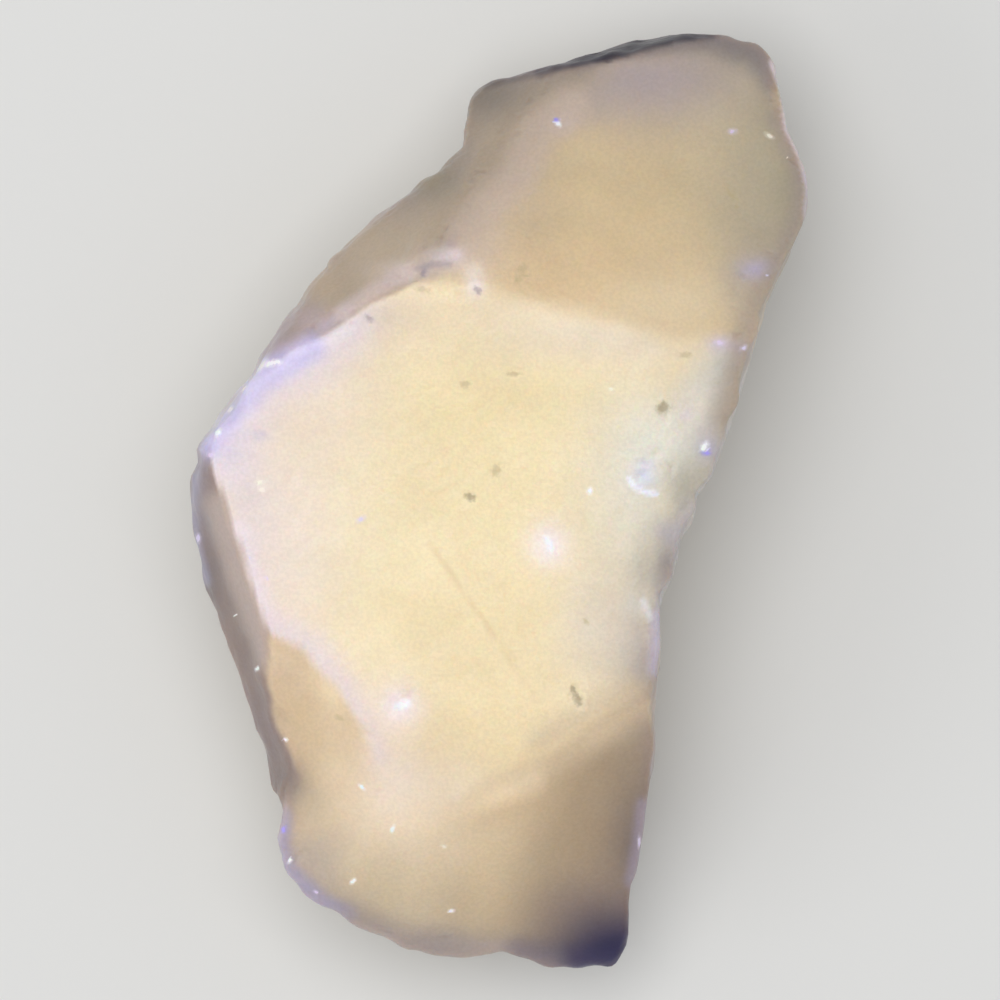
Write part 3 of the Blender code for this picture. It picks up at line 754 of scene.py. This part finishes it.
# Small marks of the top by kind: plan place, half length, half width, turn of the long axis in degrees.
# The glints are painted highlights
marks = {
    "pits": {
        "tan": [
            (16.2, 9.1, 0.9, 0.7, 70), (7.7, -19.9, 0.8, 0.5, 110), (7.3, -18.9, 0.6, 0.3, 120),
            (-3.0, 0.3, 0.7, 0.45, 150),
        ],
        "faint": [
            (-3.5, 11.5, 0.6, 0.4, 10), (18.4, 14.4, 0.8, 0.35, 0), (2.2, 23.0, 0.6, 0.5, 90),
            (1.8, 21.9, 0.5, 0.3, 0), (1.3, 12.5, 0.9, 0.3, 0), (23.0, 30.5, 0.8, 0.4, 130),
            (23.6, 29.2, 0.4, 0.3, 90), (-16.0, -21.7, 0.6, 0.3, 150), (8.5, -12.1, 0.5, 0.25, 140),
            (-7.7, 20.9, 0.8, 0.35, 170), (-0.4, 2.8, 0.9, 0.6, 60),
        ],
        "grey": [
            (-13.0, 18.0, 0.7, 0.35, 140), (-2.2, 20.8, 0.55, 0.35, 130), (-7.6, 22.6, 0.5, 0.3, 70),
        ],
    },
    # painted highlights
    "glints": {
        "white": [
            (4.8, -4.2, 0.55, 0.22, 120), (5.0, -4.8, 0.3, 0.2, 100), (-9.8, -20.4, 0.6, 0.3, 15),
            (20.3, 5.2, 0.45, 0.25, 60), (5.8, 37.6, 0.28, 0.2, 120), (-24.2, -16.8, 0.24, 0.16, 40),
            (-21.4, -23.9, 0.22, 0.16, 0), (-26.4, -11.5, 0.17, 0.14, 30), (-13.8, -28.6, 0.3, 0.16, 140),
            (-10.7, -32.8, 0.28, 0.16, 70), (-14.7, -38.1, 0.28, 0.16, 30), (-4.9, -41.1, 0.25, 0.16, 10),
            (-21.0, -36.0, 0.25, 0.16, 60), (8.9, 0.9, 0.26, 0.2, 70), (-22.8, 13.5, 0.35, 0.22, 20),
            (-22.0, 13.7, 0.25, 0.22, 0), (-25.3, 11.1, 0.35, 0.25, 20), (-26.9, 9.0, 0.4, 0.22, 10),
            (-28.1, 6.7, 0.35, 0.25, 60),
        ],
        "violet": [
            (20.5, 4.7, 0.3, 0.2, 0), (5.6, 38.0, 0.2, 0.14, 0), (-21.6, -32.9, 0.28, 0.2, 90),
        ],
        "lilac": [
            (21.8, 15.6, 0.35, 0.2, 0), (24.2, 15.1, 0.3, 0.18, 30), (-30.1, -3.8, 0.35, 0.2, 90),
            (-18.4, -39.2, 0.2, 0.14, 150), (13.9, -34.2, 0.5, 0.14, 90), (23.2, 36.8, 0.34, 0.22, 0),
            (-13.8, -1.9, 0.35, 0.2, 30), (-23.2, -7.8, 0.22, 0.18, 0), (-28.8, 4.5, 0.3, 0.25, 0),
            (26.6, 22.4, 0.14, 0.1, 0), (-24.9, -5.8, 0.18, 0.14, 0),
        ],
        "cream": [
            (26.9, 36.4, 0.35, 0.16, 150), (11.0, 11.0, 0.2, 0.16, 0), (-23.6, 1.0, 0.3, 0.22, 0),
            (-23.8, 1.8, 0.4, 0.2, 0), (28.7, 34.2, 0.13, 0.1, 0), (-5.6, -34.6, 0.2, 0.14, 0),
        ],
    },
    "scratch": [(-7.0, -4.4), (-4.0, -8.6), (-1.0, -13.0), (2.6, -18.6)],
}

markLimits = {
    "slack": 0.6,  # height difference that a mark spans
    "end": (2.5, 4.0),  # half sizes over which a mark is let go
    "away": 9.0,  # an offset that is past every mark
    "rise": (0.0, 0.2),  # of the normal, over which marks come in
}


def markOffsets(points, spots, upward):
    # offset from the nearest mark, along and across it in half sizes, so that it stays exact between points;
    # the third number keeps far, lower and undercut points off the mark. Also its tint and strength
    nearest = np.full(len(points), 1e9)
    offsets = np.zeros((len(points), 3))
    tinted = np.zeros((len(points), 4))
    listed = [(kind, *spot) for kind, places in spots.items() for spot in places]
    for kind, x, y, halfLength, halfWidth, turn in listed:
        right = points[:, 0] - x
        up = points[:, 1] - y
        angle = math.radians(turn)
        away = np.hypot(right, up)
        level = points[np.argmin(away + 50.0 * (1.0 - upward)), 2]  # of the nearest upward point
        drop = np.maximum(np.abs(points[:, 2] - level) - markLimits["slack"], 0.0) / halfLength
        along = (right * math.cos(angle) + up * math.sin(angle)) / halfLength
        across = (up * math.cos(angle) - right * math.sin(angle)) / halfWidth
        closer = away < nearest
        nearest = np.where(closer, away, nearest)
        offsets[closer, 0] = along[closer]
        offsets[closer, 1] = across[closer]
        offsets[closer, 2] = drop[closer]
        tinted[closer] = [*linear(markKinds[kind][0]), markKinds[kind][1]]
    ended = smooth(np.hypot(offsets[:, 0], offsets[:, 1]), *markLimits["end"])
    offsets[:, 2] += markLimits["away"] * (ended + 1.0 - upward)
    return offsets, tinted


relief = {
    "broad": (0.06, 11.0),  # height and length of slow waves over every broken surface
    "frost": (0.012, 1.1),  # the same for the fine unevenness
    "nibble": (0.12, 1.4),  # depth and length of the bites along sharp ridges
    "ridgeSpread": 0.45,  # how far from a ridge its bites and its pale edge reach
    "rings": (0.06, 2.5),  # height and spacing of the ripples inside the scars
    "ringDrift": (0.45, 9.0),  # how far they stray, in spacings, and over what length
    "ringWear": (0.6, 12.0),  # how much they come and go, and over what length
    "ringBlow": (26.0, 30.0),  # height and reach of the point that they spread from
    "scarEdge": (0.02, 0.8),  # leads of a scar that its rings come in over
    "pitEdge": (0.3, 1.3),  # in half sizes of the pit
    "baseFade": 0.8,  # how near the base it ends
    "pitDepth": 0.10,
    "scratchDepth": 0.03,
    "scratchHalf": 0.5,
}


def reliefHeight(points, rows, ridge, upward):
    # height added along the normal: slow waves, frost, nibbled ridges, rings in the scars, pits and
    # the scratch, and nothing near the base
    ordered = np.sort(np.array(list(rows.values())), axis=0)
    height = relief["broad"][0] * ripple(points, relief["broad"][1], 31)
    height += relief["frost"][0] * ripple(points, relief["frost"][1], 32)
    height -= relief["nibble"][0] * ridge * np.maximum(ripple(points, relief["nibble"][1], 33), 0.0)
    stray = relief["ringDrift"][0] * ripple(points, relief["ringDrift"][1], 34)
    wear = relief["ringWear"][0]
    worn = np.clip(wear + wear * ripple(points, relief["ringWear"][1], 35), 0.0, 2.0 * wear)
    blowHeight, blowReach = relief["ringBlow"]
    for name, row in scars.items():
        lead = smooth(rows[name] - ordered[-2], *relief["scarEdge"])
        blow = np.array([*lump["middle"], blowHeight]) + facing(row[0], 0.0) * blowReach
        away = np.linalg.norm(points - blow, axis=1) / relief["rings"][1] + stray
        height += relief["rings"][0] * lead * worn * np.cos(away * 2.0 * math.pi)
    offsets, tinted = markOffsets(points, marks["pits"], upward)
    pit = 1.0 - smooth(np.linalg.norm(offsets, axis=1), *relief["pitEdge"])
    height -= relief["pitDepth"] * pit * tinted[:, 3]
    scratched = 1.0 - smooth(lineDistance(points, marks["scratch"]), 0.0, relief["scratchHalf"])
    height -= relief["scratchDepth"] * upward * scratched
    fade = relief["baseFade"]
    return height * (1.0 - smooth(rows["base"] - ordered[-1] + fade, 0.0, fade))


def addMesh(name, points, quads):
    # a mesh object at the origin, its place in its points
    mesh = bpy.data.meshes.new(name)
    mesh.vertices.add(len(points))
    mesh.vertices.foreach_set("co", (points * mm).astype(np.float32).ravel())
    mesh.loops.add(quads.size)
    mesh.loops.foreach_set("vertex_index", quads.astype(np.int32).ravel())
    mesh.polygons.add(len(quads))
    mesh.polygons.foreach_set("loop_start", np.arange(0, quads.size, 4, dtype=np.int32))
    mesh.update(calc_edges=True)
    mesh.shade_smooth()
    piece = bpy.data.objects.new(name, mesh)
    bpy.context.scene.collection.objects.link(piece)
    return piece


def addAttribute(mesh, name, values):
    # one number, a vector of three or a colour of four for each point
    kinds = {1: ("FLOAT", "value"), 3: ("FLOAT_VECTOR", "vector"), 4: ("FLOAT_COLOR", "color")}
    kind, field = kinds[values[0].size]
    attribute = mesh.attributes.new(name, kind, "POINT")
    attribute.data.foreach_set(field, values.astype(np.float32).ravel())


def buildLump():
    # rays cast to the body field, then the relief along the normals, then the attributes of the finish
    cube, quads = cubeGrid()
    points, rows, aboveRim = castSurface(rayDirections(cube))
    shares = zoneShares(rows, aboveRim)
    ridge = ridgeShare(rows)
    normals = vertexNormals(points, quads)
    upward = smooth(normals[:, 2], *markLimits["rise"])
    shaped = points + normals * reliefHeight(points, rows, ridge, upward)[:, None]
    shaped[:, 2] = np.maximum(shaped[:, 2], 0.0)
    piece = addMesh("glassLump", shaped, quads)
    # the tone holds the painted shade and light of the zones, patches and bands
    tone = glassTone(points, shares, ridge)
    addAttribute(piece.data, "tone", np.column_stack([tone, np.ones(len(points))]))
    # the glints' offsets and tints place painted highlights
    for name in ("pits", "glints"):
        offsets, tinted = markOffsets(points, marks[name], upward)
        addAttribute(piece.data, name + "Offset", offsets)
        addAttribute(piece.data, name + "Tint", tinted)
    addAttribute(piece.data, "fresh", shares["flank"])
    away = markLimits["away"] * (1.0 - upward)
    addAttribute(piece.data, "scratchReach", lineDistance(points, marks["scratch"]) + away)
    return piece


glassLump = buildLump()
print("lump built:", len(glassLump.data.vertices), "points,", 2 * len(glassLump.data.polygons), "triangles")

glassFinish = {
    "ior": 1.5,
    "roughness": (0.30, 0.42),  # of clean facets and of frosted patches
    "flankGloss": 0.16,  # how much smoother the fresh flanks are
    "scatter": 1.0,
    "scatterScale": 0.0035,  # metres
    "scatterRadius": (1.0, 0.62, 0.36),
    "clouds": (9.0, 3.0, 0.02),  # size in mm, detail and strength
    "grain": (0.35, 2.0, 0.035),
    "scratchTint": (226, 204, 160),
    "scratchHalf": 0.6,  # mm
    "scratchBreaks": (2.6, 0.1, 0.6),  # size in mm, and strength where it is faint and where it is plain
    "ragged": (0.45, 1.6),  # size in mm of the wander of a mark's edge, and its height in half sizes
    "pitFade": (1.25, 0.3),  # in half sizes of the mark
    # fades and strength of the glints' painted highlights
    "haloFade": (2.4, 0.8),
    "haloStrength": 0.5,
    "glintFade": (1.1, 0.7),
    "frostSize": 3.0,  # mm
    "bumpHeight": 0.00003,  # metres
    "bumpSizes": (0.5, 2.2),  # mm
}


class Shader:
    # places and links the nodes of one material
    def __init__(self, name):
        self.material = bpy.data.materials.new(name)
        self.material.use_nodes = True
        self.tree = self.material.node_tree
        self.main = self.tree.nodes["Principled BSDF"]
        self.count = 0

    def node(self, kind, inputs=None, **settings):
        node = self.tree.nodes.new(kind)
        node.location = (-1600 + 220 * (self.count % 7), 500 - 260 * (self.count // 7))
        self.count += 1
        for name, value in settings.items():
            setattr(node, name, value)
        for key, value in (inputs or {}).items():
            self.give(node.inputs[key], value)
        return node

    def give(self, socket, value):
        if isinstance(value, bpy.types.NodeSocket):
            self.tree.links.new(value, socket)
        else:
            socket.default_value = value

    def math(self, operation, a, b=0.0, clamp=False):
        return self.node("ShaderNodeMath", {0: a, 1: b}, operation=operation, use_clamp=clamp).outputs[0]

    def vector(self, operation, a, b=(0.0, 0.0, 0.0)):
        return self.node("ShaderNodeVectorMath", {0: a, 1: b}, operation=operation)

    def ramp(self, value, low, high, first=0.0, last=1.0):
        inputs = {0: value, 1: low, 2: high, 3: first, 4: last}
        return self.node("ShaderNodeMapRange", inputs, interpolation_type="SMOOTHSTEP").outputs[0]

    def attribute(self, name, output="Fac"):
        return self.node("ShaderNodeAttribute", attribute_name=name).outputs[output]

    def noise(self, size, detail=3.0, output="Fac"):
        # size in millimetres, on Object coordinates
        place = self.node("ShaderNodeTexCoord").outputs["Object"]
        inputs = {"Vector": place, "Scale": 1000.0 / size, "Detail": detail}
        return self.node("ShaderNodeTexNoise", inputs).outputs[output]

    def mix(self, share, a, b, blend="MIX"):
        node = self.node("ShaderNodeMix", data_type="RGBA", blend_type=blend)
        self.give(node.inputs["Factor"], share)
        self.give(node.inputs[6], a)
        self.give(node.inputs[7], b)
        return node.outputs[2]

    def markReach(self, name):
        # length of a mark's offset, shaken by noise so that its edge is ragged
        size, strength = glassFinish["ragged"]
        stir = self.vector("SUBTRACT", self.noise(size, 2.0, "Color"), (0.5, 0.5, 0.5)).outputs[0]
        stir = self.vector("MULTIPLY", stir, (strength, strength, strength)).outputs[0]
        offset = self.vector("ADD", self.attribute(name, "Vector"), stir).outputs[0]
        return self.vector("LENGTH", offset).outputs["Value"]


def rgba(tint):
    # linear light with full cover
    return (*linear(tint).tolist(), 1.0)


def milkyGlass():
    # tone from the mesh, clouded and grained; then scratch, pits, and the glints and their halos as
    # painted highlights; soft scatter under a gloss
    finish = glassFinish
    s = Shader("milkyGlass")
    level = 1.0
    for size, detail, strength in (finish["clouds"], finish["grain"]):
        level = s.math("ADD", s.ramp(s.noise(size, detail), 0.3, 0.7, -strength, strength), level)
    level = s.node("ShaderNodeCombineColor", {0: level, 1: level, 2: level}).outputs[0]
    colour = s.mix(1.0, s.attribute("tone", "Color"), level, "MULTIPLY")
    size, faint, plain = finish["scratchBreaks"]
    broken = s.ramp(s.noise(size, 2.0), 0.38, 0.6, faint, plain)
    scratch = s.ramp(s.attribute("scratchReach"), finish["scratchHalf"], 0.0)
    scratch = s.math("MULTIPLY", scratch, broken)
    colour = s.mix(scratch, colour, rgba(finish["scratchTint"]))
    pit = s.ramp(s.markReach("pitsOffset"), *finish["pitFade"])
    pit = s.math("MULTIPLY", pit, s.attribute("pitsTint", "Alpha"))
    colour = s.mix(pit, colour, s.attribute("pitsTint", "Color"))
    # painted highlights: each glint's halo and core are mixed into the base colour
    glint = s.markReach("glintsOffset")
    strength = s.attribute("glintsTint", "Alpha")
    halo = s.math("MULTIPLY", s.ramp(glint, *finish["haloFade"], 0.0, finish["haloStrength"]), strength)
    colour = s.mix(halo, colour, s.attribute("glintsTint", "Color"))
    core = s.math("MULTIPLY", s.ramp(glint, *finish["glintFade"]), strength)
    colour = s.mix(core, colour, s.attribute("glintsTint", "Color"))
    s.give(s.main.inputs["Base Color"], colour)
    roughness = s.ramp(s.noise(finish["frostSize"], 4.0), 0.35, 0.65, *finish["roughness"])
    roughness = s.math("SUBTRACT", roughness, s.math("MULTIPLY", s.attribute("fresh"), finish["flankGloss"]))
    s.give(s.main.inputs["Roughness"], roughness)
    s.main.inputs["IOR"].default_value = finish["ior"]
    s.main.inputs["Subsurface Weight"].default_value = finish["scatter"]
    s.main.inputs["Subsurface Scale"].default_value = finish["scatterScale"]
    s.main.inputs["Subsurface Radius"].default_value = finish["scatterRadius"]
    fine, coarse = [s.noise(size, 3.0) for size in finish["bumpSizes"]]
    height = s.math("ADD", fine, s.math("MULTIPLY", coarse, 2.0))
    bump = s.node("ShaderNodeBump", {"Strength": 1.0, "Distance": finish["bumpHeight"], "Height": height})
    s.give(s.main.inputs["Normal"], bump.outputs[0])
    return s.material


glassLump.data.materials.append(milkyGlass())
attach(glassLump, "root")
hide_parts("cullet")
print("glass finished")

studio = {
    "floorHalf": 3000.0,  # mm
    "floorTint": (226, 225, 222),
    "worldTint": (235, 238, 242),
    "worldStrength": 0.55,
    "keyPower": 9.0,
    "keySize": 0.9,
    "keyPlace": (-0.10, 0.10, 1.35),
    "fillPower": 3.0,
    "fillPlace": (-1.1, -0.5, 0.8),
    "aim": (0.0, 0.0, 0.018),
}


def buildFloor():
    # a large square at the level that the lump rests on
    half = studio["floorHalf"]
    corners = np.array([(-half, -half, 0.0), (half, -half, 0.0), (half, half, 0.0), (-half, half, 0.0)])
    floor = addMesh("floor", corners, np.array([[0, 1, 2, 3]]))
    s = Shader("floorPaper")
    s.main.inputs["Base Color"].default_value = rgba(studio["floorTint"])
    s.main.inputs["Roughness"].default_value = 0.9
    floor.data.materials.append(s.material)


def areaLight(name, place, power, size):
    # a square soft light aimed at the lump
    light = bpy.data.lights.new(name, "AREA")
    light.energy = power
    light.size = size
    lamp = bpy.data.objects.new(name, light)
    lamp.location = place
    toLump = Vector(studio["aim"]) - Vector(place)
    lamp.rotation_euler = toLump.to_track_quat("-Z", "Y").to_euler()
    bpy.context.scene.collection.objects.link(lamp)


def buildStudio():
    buildFloor()
    areaLight("key", studio["keyPlace"], studio["keyPower"], studio["keySize"])
    areaLight("fill", studio["fillPlace"], studio["fillPower"], studio["keySize"])
    world = bpy.data.worlds.new("studio")
    world.use_nodes = True
    world.node_tree.nodes["Background"].inputs[0].default_value = rgba(studio["worldTint"])
    world.node_tree.nodes["Background"].inputs[1].default_value = studio["worldStrength"]
    bpy.context.scene.world = world
    bpy.context.scene.view_settings.view_transform = "Standard"


overhead = {
    "outlineHeight": 0.022,  # metres
    "distance": 1.6,
    "shownWidth": 0.1,
    "sensor": 36.0,
    "farEnd": 20.0,
}


def buildCamera():
    # straight above; its distance and lens show the wanted width at the height of the outline
    camera = bpy.data.cameras.new("overhead")
    camera.sensor_width = overhead["sensor"]
    camera.lens = overhead["sensor"] * overhead["distance"] / overhead["shownWidth"]
    camera.clip_end = overhead["farEnd"]
    stand = bpy.data.objects.new("overhead", camera)
    stand.location = (0.0, 0.0, overhead["outlineHeight"] + overhead["distance"])
    bpy.context.scene.collection.objects.link(stand)
    bpy.context.scene.camera = stand


buildStudio()
buildCamera()
print("studio and camera set")
